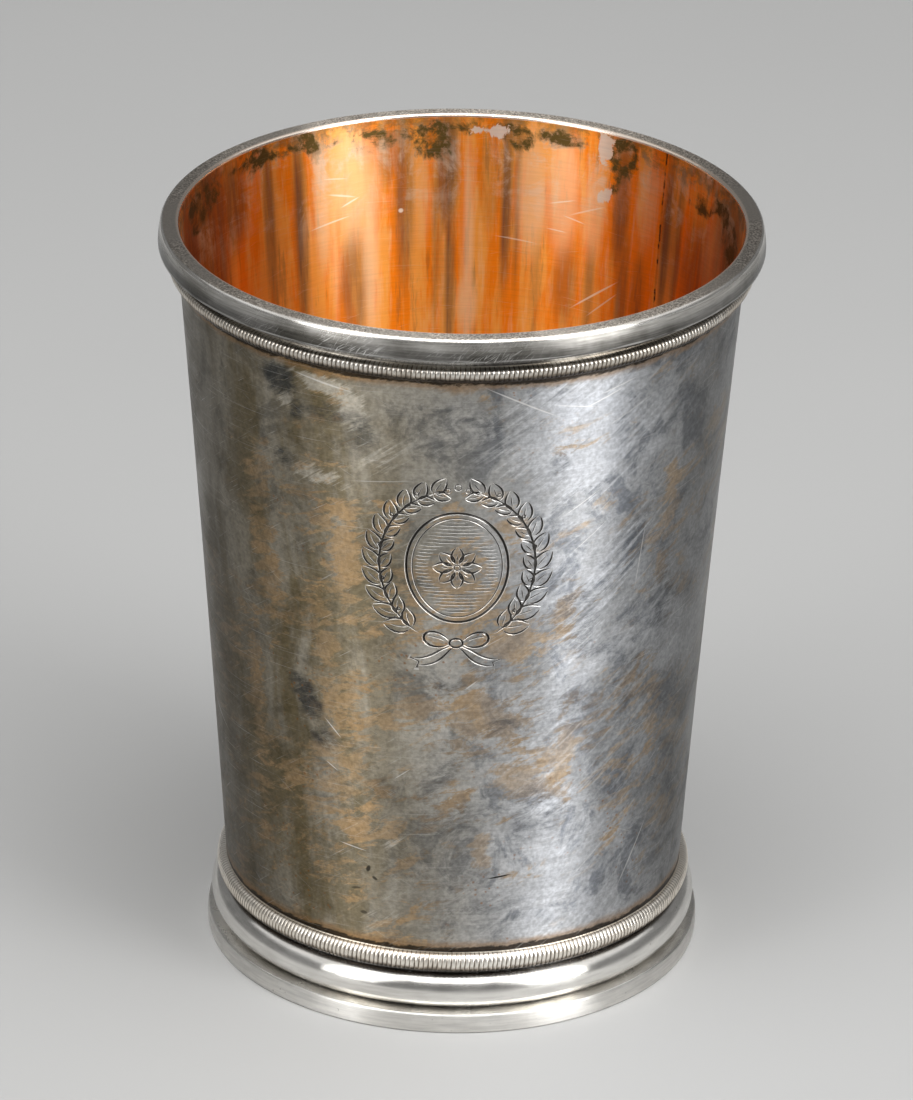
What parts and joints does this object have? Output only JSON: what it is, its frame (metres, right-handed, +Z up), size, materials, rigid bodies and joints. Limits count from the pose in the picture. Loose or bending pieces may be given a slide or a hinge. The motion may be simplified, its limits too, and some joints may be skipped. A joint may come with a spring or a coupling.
{
  "type": "beaker",
  "caption": "Tapered silver drinking beaker with a gilt inside, a thick rim band, milled wires and a moulded ring foot.",
  "frame": {"origin": "centre of the plane that the foot ring rests on", "axes": "+Z up along the axis of the beaker, -Y towards the engraved front"},
  "size_m": [0.0784, 0.0784, 0.1016],
  "materials": {
    "worn_silver": "dull worn silver with brown and grey tarnish and fine scratches; the inside is gilt",
    "gilt_silver": "worn orange gilding over silver",
    "brushed_silver": "brushed silver, finely pitted on its flat top",
    "milled_silver": "bright crests with dark tarnish in the cuts",
    "polished_silver": "bright polished silver"
  },
  "bodies": {
    "root": {"body_wall": "worn_silver", "base_plate": "gilt_silver", "rim_band": "brushed_silver", "upper_milled_wire": "milled_silver", "lower_milled_wire": "milled_silver", "half_round_moulding": "polished_silver", "foot_ring": "polished_silver"}
  },
  "joints": []
}
